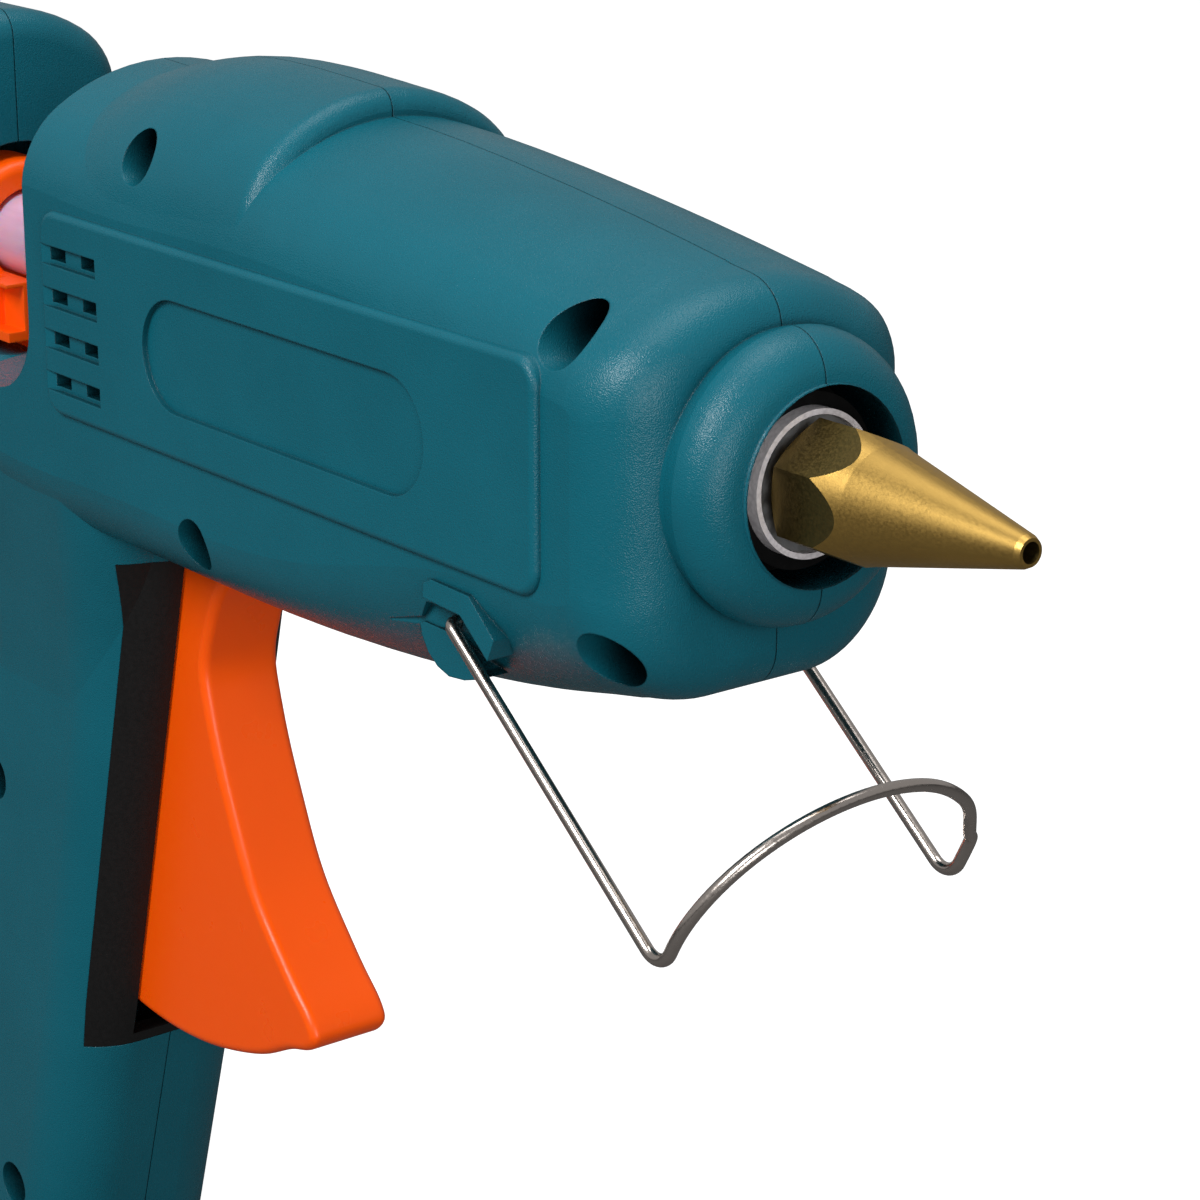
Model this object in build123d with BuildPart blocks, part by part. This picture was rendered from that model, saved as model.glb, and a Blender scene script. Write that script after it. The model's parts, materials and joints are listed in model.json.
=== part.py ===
"""Hot-melt glue gun for 11 mm sticks, as an assembly of separate parts.  Millimetres.

The barrel's own frame is used for nearly every size: x runs forward from the front face of
the nose collar, y to the left, z up from the nozzle's axis.  front(), side() and level() are
sketch planes in that frame.  The row's origin is under the middle of the gun, on the face
that the handle stands on.
"""

import os
from math import cos, exp, pi, radians, sin, sqrt

from build123d import *

os.makedirs("parts", exist_ok=True)

# ---------------------------------------------------------------- driving dimensions
REAR_X = -187.0          # back of the handle's heel
TIP_X = 28.6             # nozzle tip
BASE_Z = -150.0          # face that the handle stands on
NOSE_X = -(REAR_X + TIP_X) / 2
AXIS_Z = -BASE_Z

WALL = 2.2
GAP = 0.3                # air between pieces that move past each other
FIT = 0.05               # air between pieces of one body
FAR = 60.0               # reach of a cutting tool, past every face of the gun

HALF_W = 20.6            # barrel
FACE_X = -7.3            # flat front of the barrel, behind the collar
NOSE_R = 9.0             # plan rounding of the nose
BROW_R = 4.0             # rounding of the nose above and below
HUMP_W = 20.3
TAIL_X = -134.0          # where the barrel starts to narrow into the handle
TAIL_R = 14.0
SIDE_CUT = 0.05          # the flat sides are cut this much inside the lofted section
BELLY = 5.4              # extra rounding of the lower corners, where it is most and how far it reaches
BELLY_X = -42.0
BELLY_REACH = 18.0
BELLY_DROP = 0.39        # how far the underside drops for it
WINDOW_FRONT_X = -125.0
WINDOW_BACK_X = -163.3
WINDOW_R = 10.0
DECK_Z = -12.8

GRIP_W = 14.5            # half-width of the handle
GRIP_R = 9.5             # rounding of its edges
GRIP_HORN = (-155.5, -184.0, 24.0)     # root of the handle inside the tower: x from and to, z
TOWER_W = 16.5
TOWER_TOP_Z = 29.6
TOWER_BASE_Z = -17.0
TOWER_BACK_X = -185.0
TOWER_SHOULDER_R = 9.9
TOWER_FOOT_R = 8.0
TOWER_FRONT_R = 3.6
TOWER_BACK_R = 6.0
GRIP_TOP = (-109.0, -14.0)             # handle's front line, x and z
GRIP_KNEE = (-131.0, -101.0)
GRIP_TOE = (-146.0, BASE_Z)

COLLAR_R = 15.6
COLLAR_BULGE_X = -5.5    # where the collar is widest
COLLAR_RIM_R = 5.0
COLLAR_HOLE_R = 10.5
STICK_R = 5.6
HEX_R = 7.21             # nozzle's hexagon, across corners
NECK_R = 7.1             # chamber's neck, behind the nozzle
SLEEVE_R = 7.75          # white sleeve round the neck
CHAMBER_R = 9.4
CHAMBER_BACK_X = -78.0
CHAMBER_FRONT_X = -14.0

PIVOT = (-123.0, -38.0)  # trigger's pin, x and z
PIVOT_R = 2.0
TRIGGER_PULL = 22.0      # degrees
ARM = 17.0               # from the trigger's pin to the finger that drives the carriage
FINGER_R = 2.0
TRIGGER_FOOT_R = 63.3    # round bottom of the trigger, about its pin
TRIGGER_W = 5.75         # half-width
SLOT_W = TRIGGER_W + 0.35

BAR_W = 4.0              # half-width of the carriage's bar
BAR_Z = (-24.5, -17.6)
BAR_BACK_X = -167.5
RING_X = (-170.0, -161.0)
RING_R = 10.0
RING_HOLE_R = 6.3

STAND_PIVOT = (-37.4, -19.7)
STAND_FOOT = (-1.3, -47.6)
STAND_Y = 19.9
WIRE_R = 0.72
STAND_END_Y = 12.0
ARCH_TILT = 62.0         # degrees above the barrel's axis

SCREWS = [(-100.2, 21.0), (-19.3, 14.5), (-88.3, -23.0), (-12.8, -17.9), (-178.0, 19.0),
          (-152.5, -72.0), (-153.5, -134.0)]
HEAD_R = 2.7
RECESS_R = 3.2
SCREW_R = 1.4
SEAT_Y = -6.0
SCREW_END_Y = 9.0
BOSS_R = 4.6

PANEL = (-120.0, -20.2, -12.9, 12.4)   # raised side panel: x from and to, z from and to
PANEL_PROUD = 0.9
PANEL_DEPTH = 5.0
PANEL_CORNER_R = 3.2
PILL = (-67.8, -0.5, 56.8, 13.5)       # blank recess: centre x and z, length, height
PILL_DEPTH = 0.7
VENT_ROWS = [7.0, 1.75, -3.5, -8.75]
VENT_X = (-120.2, -106.6)
VENT_RAMP = 3.0          # the slots run out over this length at the back
VENT_H = 2.4
VENT_DEPTH = 0.7
VENT_HOLE = (3.3, 1.6)                 # two openings in each slot
VENT_HOLE_X = (-116.3, -109.3)
VENT_HOLE_RISE = 0.15

SEAM = 0.06              # half of the parting line between the two shells
RIB = 2.0
CHAMBER_RIB_X = (-72.0, -20.0)
NECK_RIB_X = (-12.5, -9.5)
SPRING_SEAT_X = (-98.0, -96.0)
BUSH_SEAT_X = -180.9      # thickened rear wall round the bush
BUSH_RIB_X = (-179.3, -177.8)
STICK_WALL_R = 7.5       # hole for the stick in the barrel's rear wall
MOUTH_R = 12.2           # arched mouth in the tower's front wall
MOUTH_W = 10.0
MOUTH_FOOT = 6.0         # how far the mouth's floor runs out over the deck
DECK_SLOT_X = (-173.0, -151.0)
STRIP_Z = (-107.0, -33.5)              # dark strip on the handle's front
STRIP_DEPTH = 3.4
STRIP_SLOT_Z = -105.5
TRIGGER_SLOT = [(-112.0, -28.0), (-131.5, -28.0), (-131.5, -45.0), (-141.0, STRIP_SLOT_Z),
                (-90.0, STRIP_SLOT_Z), (-90.0, -31.0), (-112.0, -31.0)]
PIVOT_BOSS_R = 5.0
PIVOT_PIN_Y = 10.0       # half-length of the trigger's pin
STAND_BOSS_R = 3.0
STAND_STOP = [(-40.8, -17.5), (-40.6, -15.8), (-39.2, -15.1), (-32.4, -15.3), (-28.0, -19.1), (-29.2, -21.6),
              (-34.0, -17.8)]
STAND_STOP_Y = 20.9
STAND_BLOCK = [(-44.1, -21.6), (-43.3, -21.2), (-38.1, -21.3), (-34.7, -24.9), (-33.4, -25.2), (-36.1, -26.0),
               (-38.9, -26.3), (-41.0, -25.7), (-42.7, -24.5), (-43.8, -22.8)]
STAND_BLOCK_Y = 18.9
STAND_RIDGE_Y = 15.0     # the ridges start inside this
STAND_RELIEF = [(-41.5, -18.3), (-34.5, -18.3), (-29.9, -22.3), (-29.0, -34.0), (-52.0, -34.0), (-50.0, -22.5),
                (-43.5, -20.6)]
STAND_RELIEF_Y = 18.6

BUSH_R = 8.0             # rear guide bush
BUSH_FLANGE_R = 9.5
BUSH_FLANGE_X = (-180.85, -179.35)
GLAND_X = -170.0         # cord inlet in the handle's foot
GLAND_R = 7.0
TERMINAL_X = (-168.0, -152.0)
TERMINAL_Y = 6.0
TERMINAL_Z = (-126.0, -114.0)
TERMINAL_PAD_X = (-165.0, -155.0)
TERMINAL_PAD_Z = (-124.0, -116.0)
LEAD_R = 0.9
LEAD_Y = 9.5
LEAD_Z = -16.5
LEAD_BENDS = [1.8, 3.0, 6.0, 8.0, 12.0, 6.0, 4.0]
TERMINAL_MID_X = -160.0
TERMINAL_PITCH = 6.0
TERMINAL_SCREW_X = -158.9
TERMINAL_SCREW_Z = -120.0
TERMINAL_SCREW_R = 1.5
GLAND_L = 12.0
GLAND_FLANGE_R = 8.5
GLAND_FLANGE_L = 1.5
GLAND_BORE_R = 3.6

TRIGGER_FACE = [(-101.0, -31.2), (-104.0, -33.5), (-107.2, -37.0), (-110.2, -43.4), (-111.3, -47.6),
                (-110.6, -52.0), (-108.4, -59.0), (-105.5, -66.0), (-101.0, -75.0), (-96.0, -81.0),
                (-91.6, -85.6), (-88.4, -89.0), (-87.9, -90.6), (-89.0, -92.2)]
TRIGGER_FOOT_TURNS = (28.0, 22.0, 16.0, 10.0, 4.0, -2.0, -7.0, -11.2)
TRIGGER_BACK = [(-125.5, -45.0), (-128.5, -38.0), (-126.0, -34.0), (-118.0, -31.2)]
TRIGGER_EDGE_R = 1.2
TRIGGER_HUB_R = 6.0
TRIGGER_ARM_W = 3.0
ARM_SHAPE = [(2.0, 3.6), (10.0, 2.6), (12.4, 1.2), (16.5, 1.2)]   # along the arm, half-width there
FINGER = (PIVOT[0] - ARM * sin(radians(TRIGGER_PULL / 2)), PIVOT[1] + ARM * cos(radians(TRIGGER_PULL / 2)))

CARRIAGE_X = (-172.0, -152.6)
CARRIAGE_W = 8.7
CARRIAGE_Z = -12.3
CARRIAGE_TOP_Z = -4.5
CARRIAGE_NOTCH = ((-158.0, -151.0), (-9.0, -6.2), (-11.0, -5.0))
FOOT_X = (-172.0, -158.0)
YOKE_X = FINGER[0]
YOKE_HALF = 2.3
PRONG_X = -121.4
BRIDGE_Z = (-18.7, -15.6)
PLATE_X = (-174.2, -172.6)
PLATE_R = 8.4
PLATE_HOLE_R = 6.1
PLATE_FOOT_W = 5.6
PLATE_FOOT_R = 1.1
PLATE_PIN_X = -173.4
PLATE_PIN_Z = -9.8
PLATE_PIN_R = 0.5
SPRING_X = (PRONG_X, SPRING_SEAT_X[0])
SPRING_Z = -21.0
SPRING_R = 2.6
SPRING_WIRE_R = 0.35
SPRING_PITCH = 2.2
STICK_X = (-174.5, -60.0)

BUSH_X = (-185.2, -176.5)
BUSH_BORE_R = 6.2
SLEEVE_X = (-100.0, -78.1)             # silicone inlet sleeve
SLEEVE_OUT_R = 8.6
SLEEVE_BORE_R = 5.9
SPIGOT_X = -86.0
SPIGOT_R = 7.0
CLIP_RING_X = (-83.5, -81.5)
NECK_X = -2.6
FLANGE_R = 11.0
FLANGE_L = 2.5
CRADLE_X = (-64.0, -25.0)
CRADLE_W = 8.4
CRADLE_Z = -8.5
CHAMBER_BORE_R = 6.0
TAPER_X = (-22.0, -14.0)
NOZZLE_SPIGOT_R = 4.5
NOZZLE_SPIGOT_X = -12.0
HEATER_X = (-62.0, -27.0)
HEATER_W = 7.0
HEATER_Z = (-12.0, -8.75)
FILM = 0.15
CLIP_T = 0.6
HEATER_CLIP_X = (-52.0, -42.0)

NOZZLE_SLEEVE_X = (-13.9, -1.8)
SUPPORT_X = (-12.0, -8.0)
SUPPORT_HUB_X = -3.4
SUPPORT_HUB_R = 9.2
HEX_BACK_X = -1.3
HEX_TURN = 94.4
NOZZLE_CONE = [(3.9, 7.4), (8.5, 6.1), (28.0, 1.75)]
NOZZLE_BORE_R = 2.5
NOZZLE_TAPER_X = (8.0, 22.0)
ORIFICE_R = 1.1
STAND_STUB = 3.3
STAND_BEND_R = 2.5
PIVOT_BEND_R = 1.0
HEAD_H = 1.8
CROSS_L = 3.0
CROSS_W = 0.7


def front(x):
    """Sketch plane across the barrel at x: its axes are y and z.  Extrusions go forward."""
    return Plane(origin=(NOSE_X + x, 0, AXIS_Z), x_dir=(0, 1, 0), z_dir=(1, 0, 0))


def side(y):
    """Sketch plane along the barrel at y: its axes are x and z.  Extrusions go to -y."""
    return Plane(origin=(NOSE_X, y, AXIS_Z), x_dir=(1, 0, 0), z_dir=(0, -1, 0))


def level(z):
    """Horizontal sketch plane at z: its axes are x and y.  Extrusions go up."""
    return Plane(origin=(NOSE_X, 0, AXIS_Z + z), x_dir=(1, 0, 0), z_dir=(0, 0, 1))


def spot(x, y, z):
    """A point of the barrel's frame, in the row's frame."""
    return (NOSE_X + x, y, AXIS_Z + z)


def save(part, name):
    part.label = name
    export_step(part, f"parts/{name}.step")


def sides(near, far):
    """The same stretch of y on the right and on the left."""
    return [(-far, -near), (near, far)]


def slab(points, y_from, y_to, radii=None):
    """Flat piece seen from the side; radii round its corners."""
    with BuildPart() as form:
        with BuildSketch(side(y_to)):
            with BuildLine():
                if radii:
                    FilletPolyline(*points, radius=radii, close=True)
                else:
                    Polyline(*points, close=True)
            make_face()
        extrude(amount=y_to - y_from)
    return form.part


def rod(x, z, radius, y_from, y_to):
    """Round bar across the gun."""
    with BuildPart() as form:
        with BuildSketch(side(y_to)):
            with Locations((x, z)):
                Circle(radius)
        extrude(amount=y_to - y_from)
    return form.part


def tube(x_from, x_to, radius, bore=0.0, y=0.0, z=0.0):
    """Round bar or tube along the barrel."""
    with BuildPart() as form:
        with BuildSketch(front(x_from)):
            with Locations((y, z)):
                Circle(radius)
                if bore:
                    Circle(bore, mode=Mode.SUBTRACT)
        extrude(amount=x_to - x_from)
    return form.part


def block(x, y, z):
    """Box between pairs of limits."""
    with BuildPart() as form:
        with BuildSketch(level(z[0])):
            with Locations(((x[0] + x[1]) / 2, (y[0] + y[1]) / 2)):
                Rectangle(x[1] - x[0], y[1] - y[0])
        extrude(amount=z[1] - z[0])
    return form.part


def post(x, y, z_from, z_to, radius, bore=0.0):
    """Round upright or upright tube."""
    with BuildPart() as form:
        with BuildSketch(level(z_from)):
            with Locations((x, y)):
                Circle(radius)
                if bore:
                    Circle(bore, mode=Mode.SUBTRACT)
        extrude(amount=z_to - z_from)
    return form.part


# ---------------------------------------------------------------- the casing's outer form
def drawn_in(x, start, radius):
    """How far a rounded end of this radius, starting at start, has drawn in at x."""
    past = min(max(x - start, 0.0), radius)
    return radius - sqrt(radius**2 - past**2)


def barrel_top(x):
    droop = max((x + 80.0) / 70.0, 0.0)
    return 27.4 - 8.0 * droop**1.5


def barrel_bottom(x):
    rise = max((x + 70.0) / 62.0, 0.0)
    return -30.5 + 7.6 * rise**1.6


def arched_outline(width, top, bottom, shoulder, heel):
    """Closed section: crowned top, rounded shoulders, straight sides, rounded lower corners."""
    turn = radians(33)
    crown = shoulder + (width - shoulder) / sin(turn)
    low = top - crown
    hip = low + (crown - shoulder) * cos(turn)
    knee = radians(45)
    middle = (pi / 2 - turn) / 2
    with BuildLine() as outline:
        ThreePointArc((0, top), (crown * sin(turn / 2), low + crown * cos(turn / 2)),
                      (crown * sin(turn), low + crown * cos(turn)))
        ThreePointArc((crown * sin(turn), low + crown * cos(turn)),
                      (width - shoulder + shoulder * cos(middle), hip + shoulder * sin(middle)),
                      (width, hip))
        Line((width, hip), (width, bottom + heel))
        ThreePointArc((width, bottom + heel),
                      (width - heel + heel * cos(knee), bottom + heel - heel * sin(knee)),
                      (width - heel, bottom))
        Line((width - heel, bottom), (0, bottom))
        mirror(about=Plane.YZ)
    return outline.edges()


def belly(x):
    """How much fuller the rounding of the lower corners is, most above the stand's legs."""
    return BELLY * exp(-((x - BELLY_X) / BELLY_REACH)**2)


def barrel_section(x, inset):
    nose = drawn_in(x, FACE_X - inset - NOSE_R, NOSE_R)
    brow = drawn_in(x, FACE_X - inset - BROW_R, BROW_R)
    tail = drawn_in(-x, -TAIL_X, TAIL_R)
    width = HALF_W + SIDE_CUT - inset - nose - tail
    forward = min(max((x + 90.0) / 80.0, 0.0), 1.0)
    shoulder = (0.6 - 0.12 * forward) * width
    heel = (0.5 + 0.13 * forward) * width + belly(x)
    bottom = barrel_bottom(x) - BELLY_DROP * belly(x)
    return arched_outline(width, barrel_top(x) - inset - brow, bottom + inset + brow, shoulder, heel)


def barrel_form(inset):
    """The barrel before the window is cut, drawn in by inset all round."""
    nose_start = FACE_X - inset - NOSE_R
    turns = [radians(turn) for turn in (0, 18, 36, 54, 72, 90)]
    runs = [[TAIL_X - TAIL_R * sin(turn) for turn in turns],
            [TAIL_X, -112.0, -90.0, -70.0, -52.0, -38.0, -26.0, nose_start],
            [nose_start + NOSE_R * sin(turn) for turn in turns]]
    with BuildPart() as form:
        for stations in runs:
            for x in stations:
                with BuildSketch(front(x)):
                    make_face(barrel_section(x, inset))
            loft()
        for span in sides(HALF_W - inset, FAR):
            add(block((REAR_X - FAR, FAR), span, (-FAR, FAR)), mode=Mode.SUBTRACT)
    return form.part


def hump_form(inset):
    """Raised saddle over the back half of the barrel."""
    stations = [(-121.0, 26.8), (-113.0, 29.0), (-104.0, 30.6), (-97.0, 31.0), (-85.0, 30.7), (-75.0, 30.1)]
    width = HUMP_W - inset
    with BuildPart() as form:
        for x, top in stations:
            with BuildSketch(front(x - inset)):
                make_face(arched_outline(width, top - inset, -5.0, 0.74 * width, 5.0))
        loft()
        if not inset:
            fillet(form.faces().sort_by(Axis.X)[-1].edges().filter_by(lambda e: e.center().Z > AXIS_Z + 14), 2.4)
    return form.part


def window_cut(inset):
    """Room over the deck, from the barrel's back to past the tower."""
    rim = [(WINDOW_FRONT_X + inset, FAR), (WINDOW_FRONT_X + inset, DECK_Z - inset),
           (REAR_X - FAR, DECK_Z - inset), (REAR_X - FAR, FAR)]
    return slab(rim, -FAR, FAR, [1, WINDOW_R, 1, 1])


def grip_form(inset):
    """Handle as one rounded plate with its root in the tower, drawn in by inset."""
    deck = -14.0 - inset
    top = GRIP_HORN[2] - inset
    base = BASE_Z + inset
    rim = [(GRIP_TOE[0] - inset, base), (GRIP_KNEE[0] - inset, GRIP_KNEE[1]), (GRIP_TOP[0] - inset, deck),
           (GRIP_HORN[0] - inset, deck), (GRIP_HORN[0] - inset, top), (GRIP_HORN[1] + inset, top),
           (GRIP_HORN[1] + inset, -15.0), (-154.5 + inset, -37.0), (-171.5 + inset, -101.0),
           (REAR_X + inset, base)]
    with BuildPart() as form:
        with BuildSketch(side(GRIP_W - inset)):
            with BuildLine():
                FilletPolyline(*rim, radius=[90, 12, 5, 12, 12, 12, 20, 80])
                Line(rim[-1], rim[0])
            make_face()
        extrude(amount=2 * (GRIP_W - inset))
        faces = form.faces().filter_by(Axis.Y)
        fillet((faces[0].edges() + faces[-1].edges()).filter_by(GeomType.CIRCLE), GRIP_R - inset)
        add(block((WINDOW_BACK_X - 1 - inset, 0), (-FAR, FAR), (deck, FAR)), mode=Mode.SUBTRACT)
    return form.part


def tower_form(inset):
    """Rear tower, arched like the barrel, with a flat front wall."""
    with BuildPart() as form:
        with BuildSketch(front(TOWER_BACK_X + inset)):
            make_face(arched_outline(TOWER_W - inset, TOWER_TOP_Z - inset, TOWER_BASE_Z + inset,
                                     TOWER_SHOULDER_R - inset, TOWER_FOOT_R - inset))
        extrude(amount=WINDOW_BACK_X - TOWER_BACK_X - 2 * inset)
        if not inset:
            ends = form.faces().sort_by(Axis.X)
            fillet(ends[-1].edges(), TOWER_FRONT_R)
            fillet(form.faces().sort_by(Axis.X)[0].edges(), TOWER_BACK_R)
    return form.part


def neck_form(inset):
    """Flare that widens the top of the handle towards the barrel."""
    stations = [(-18.0, 20.2, -147.0, -111.5), (-26.0, 19.4, -149.0, -113.2), (-38.0, 17.0, -153.0, -116.6),
                (-50.0, 15.0, -156.5, -119.6), (-62.0, 14.2, -160.0, -122.6)]
    with BuildPart() as form:
        for z, width, back, fore in stations:
            with BuildSketch(level(z - inset)):
                with Locations(((back + fore) / 2, 0)):
                    RectangleRounded(fore - back - 2 * inset, 2 * (width - inset), GRIP_R - inset)
        loft()
    return form.part


def collar_form():
    """Round nose collar, fullest a little behind its rounded rim."""
    rim_mid = COLLAR_R - COLLAR_RIM_R
    half = COLLAR_RIM_R / sqrt(2)
    with BuildPart() as form:
        with BuildSketch(side(0)):
            with BuildLine():
                Line((FACE_X - 6, 0), (FACE_X - 6, COLLAR_R - 0.9))
                Line((FACE_X - 6, COLLAR_R - 0.9), (FACE_X, COLLAR_R - 0.4))
                Line((FACE_X, COLLAR_R - 0.4), (COLLAR_BULGE_X, COLLAR_R))
                ThreePointArc((COLLAR_BULGE_X, COLLAR_R), (COLLAR_BULGE_X + half, rim_mid + half),
                              (COLLAR_BULGE_X + COLLAR_RIM_R, rim_mid))
                Line((COLLAR_BULGE_X + COLLAR_RIM_R, rim_mid), (0, COLLAR_HOLE_R))
                Line((0, COLLAR_HOLE_R), (0, 0))
                Line((0, 0), (FACE_X - 6, 0))
            make_face()
        revolve(axis=Axis(spot(0, 0, 0), (1, 0, 0)))
    return form.part


def panel_form(hand):
    """Raised panel on one side of the barrel, with its blank recess; hand is -1 on the right."""
    x_from, x_to, z_from, z_to = PANEL
    face = side(hand * (HALF_W + PANEL_PROUD))
    with BuildPart() as form:
        with BuildSketch(face):
            with Locations(((x_from + x_to) / 2, (z_from + z_to) / 2)):
                RectangleRounded(x_to - x_from, z_to - z_from, PANEL_CORNER_R)
        extrude(amount=PANEL_DEPTH * hand)
        skin = form.faces().sort_by(Axis.Y)[-1 if hand > 0 else 0]
        fillet(skin.edges(), PANEL_PROUD - 0.05)
        with BuildSketch(face):
            with Locations(PILL[:2]):
                SlotOverall(PILL[2], PILL[3])
        extrude(amount=PILL_DEPTH * hand, mode=Mode.SUBTRACT)
    return form.part


def outer_form():
    with BuildPart() as form:
        add(barrel_form(0.0))
        add(window_cut(0.0), mode=Mode.SUBTRACT)
        add(hump_form(0.0))
        add(grip_form(0.0))
        add(tower_form(0.0))
        add(neck_form(0.0))
        add(collar_form())
        for hand in (-1, 1):
            add(panel_form(hand))
    return form.part


def inner_form():
    with BuildPart() as form:
        add(barrel_form(WALL))
        add(window_cut(WALL), mode=Mode.SUBTRACT)
        add(hump_form(WALL))
        add(grip_form(WALL))
        add(tower_form(WALL))
        add(neck_form(WALL))
    return form.part


# ---------------------------------------------------------------- casing
def strip_region(inset):
    """Room for the front strip of the handle, drawn in by inset."""
    top, bottom = STRIP_Z[1] - inset, STRIP_Z[0] + inset
    return slab([(GRIP_TOP[0] + 40, top), (strip_back(top) + inset, top), (strip_back(bottom) + inset, bottom),
                 (GRIP_TOP[0] + 40, bottom)], -FAR, FAR)


def strip_back(z):
    """The strip's rear face at z, parallel to the handle's front line."""
    slope = (GRIP_TOP[0] - GRIP_KNEE[0]) / (GRIP_TOP[1] - GRIP_KNEE[1])
    return GRIP_KNEE[0] + slope * (z - GRIP_KNEE[1]) - STRIP_DEPTH


def cavity_form():
    """The casing's hollow: the inner form less every rib and boss that stands in it."""
    with BuildPart() as form:
        add(inner_form())
        for x, bore in ((CHAMBER_RIB_X[0], CHAMBER_R + FIT), (CHAMBER_RIB_X[1], CHAMBER_R + FIT)):
            add(tube(x, x + RIB, FAR, bore), mode=Mode.SUBTRACT)
        add(tube(NECK_RIB_X[0], NECK_RIB_X[1], FAR, COLLAR_HOLE_R), mode=Mode.SUBTRACT)
        add(block(SPRING_SEAT_X, (-7, 7), (-FAR, -10.5)), mode=Mode.SUBTRACT)
        add(block(BUSH_RIB_X, (-FAR, FAR), (DECK_Z - 1, 12)), mode=Mode.SUBTRACT)
        add(tube(TOWER_BACK_X, BUSH_SEAT_X, BUSH_FLANGE_R + 1), mode=Mode.SUBTRACT)
        for x, z in SCREWS:
            add(rod(x, z, BOSS_R, -FAR, FAR), mode=Mode.SUBTRACT)
        for span in sides(SLOT_W, FAR):
            add(rod(*PIVOT, PIVOT_BOSS_R, *span), mode=Mode.SUBTRACT)
        for span in sides(STAND_END_Y, FAR):
            add(rod(*STAND_PIVOT, STAND_BOSS_R, *span), mode=Mode.SUBTRACT)
        for span in sides(TERMINAL_Y + FIT, FAR):
            add(block(TERMINAL_PAD_X, span, TERMINAL_PAD_Z), mode=Mode.SUBTRACT)
    return form.part


def stand_bosses():
    """Ridges that hold and stop the wire stand, on both sides."""
    with BuildPart() as form:
        for points, reach in ((STAND_STOP, STAND_STOP_Y), (STAND_BLOCK, STAND_BLOCK_Y)):
            for span in sides(STAND_RIDGE_Y, reach):
                add(slab(points, *span))
    return form.part


def stand_relief():
    """Room for the stand's legs to swing along the barrel's sides."""
    with BuildPart() as form:
        for span in sides(STAND_RELIEF_Y, FAR):
            add(slab(STAND_RELIEF, *span))
    return form.part


def vent_cuts():
    """Shallow slots along both sides, run out at the back, each with two openings into the barrel."""
    skin = HALF_W + PANEL_PROUD
    floor = skin - VENT_DEPTH
    with BuildPart() as form:
        for z in VENT_ROWS:
            for hand in (-1, 1):
                with BuildSketch(level(z - VENT_H / 2)):
                    with BuildLine():
                        Polyline((VENT_X[0] - VENT_RAMP, hand * (skin + VENT_DEPTH)),
                                 (VENT_X[0] + VENT_RAMP, hand * floor),
                                 (VENT_X[1], hand * floor), (VENT_X[1], hand * (skin + VENT_DEPTH)), close=True)
                    make_face()
                extrude(amount=VENT_H)
            with BuildSketch(side(FAR)):
                with Locations(*[(x, z + VENT_HOLE_RISE) for x in VENT_HOLE_X]):
                    Rectangle(VENT_HOLE[0], VENT_HOLE[1])
            extrude(amount=2 * FAR)
    return form.part


def casing_cuts():
    """Everything cut through the casing's walls."""
    with BuildPart() as form:
        add(tube(NECK_RIB_X[0] - 1, 1, COLLAR_HOLE_R))
        add(strip_region(-FIT))
        add(slab(TRIGGER_SLOT, -SLOT_W, SLOT_W))
        add(tube(WINDOW_FRONT_X - 1, WINDOW_FRONT_X + 4, STICK_WALL_R))
        add(tube(WINDOW_BACK_X - WALL - 1, WINDOW_BACK_X + 1, MOUTH_R))
        add(block((WINDOW_BACK_X - WALL - 1, WINDOW_BACK_X + MOUTH_FOOT), (-MOUTH_W, MOUTH_W), (DECK_Z, 0)))
        add(block(DECK_SLOT_X, (-BAR_W - GAP, BAR_W + GAP), (BAR_Z[1] - 0.5, DECK_Z + 1)))
        add(tube(TOWER_BACK_X - 1, BUSH_RIB_X[1] + 1, BUSH_R + FIT))
        add(post(GLAND_X, 0, BASE_Z - 1, BASE_Z + WALL + 1, GLAND_R + FIT))
        for y in (-LEAD_Y, LEAD_Y):
            add(tube(CHAMBER_RIB_X[0] - 1, CHAMBER_RIB_X[0] + RIB + 1, LEAD_R + 0.5, y=y, z=LEAD_Z))
        add(rod(*PIVOT, PIVOT_R + FIT, -PIVOT_PIN_Y - FIT, PIVOT_PIN_Y + FIT))
        for span in sides(STAND_END_Y - FIT, FAR):
            add(rod(*STAND_PIVOT, WIRE_R + FIT, *span))
        add(vent_cuts())
        for x, z in SCREWS:
            add(rod(x, z, RECESS_R, -FAR, SEAT_Y))
            add(rod(x, z, SCREW_R + FIT, SEAT_Y - 1, SCREW_END_Y + 0.5))
    return form.part


with BuildPart() as casing:
    add(outer_form())
    add(stand_relief(), mode=Mode.SUBTRACT)
    add(stand_bosses())
    add(cavity_form(), mode=Mode.SUBTRACT)
    add(casing_cuts(), mode=Mode.SUBTRACT)

with BuildPart() as right_shell:
    add(casing.part)
    add(block((REAR_X - 10, TIP_X + 10), (-SEAM, FAR), (BASE_Z - 10, FAR)), mode=Mode.SUBTRACT)
save(right_shell.part, "right_shell")

with BuildPart() as left_shell:
    add(casing.part)
    add(block((REAR_X - 10, TIP_X + 10), (-FAR, SEAM), (BASE_Z - 10, FAR)), mode=Mode.SUBTRACT)
save(left_shell.part, "left_shell")


# ---------------------------------------------------------------- grip strip
with BuildPart() as grip_insert:
    add(outer_form())
    add(strip_region(0.0), mode=Mode.INTERSECT)
    add(slab([(x, min(z, STRIP_Z[1] + 5)) for x, z in TRIGGER_SLOT], -SLOT_W, SLOT_W), mode=Mode.SUBTRACT)
save(grip_insert.part, "grip_insert")

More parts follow.
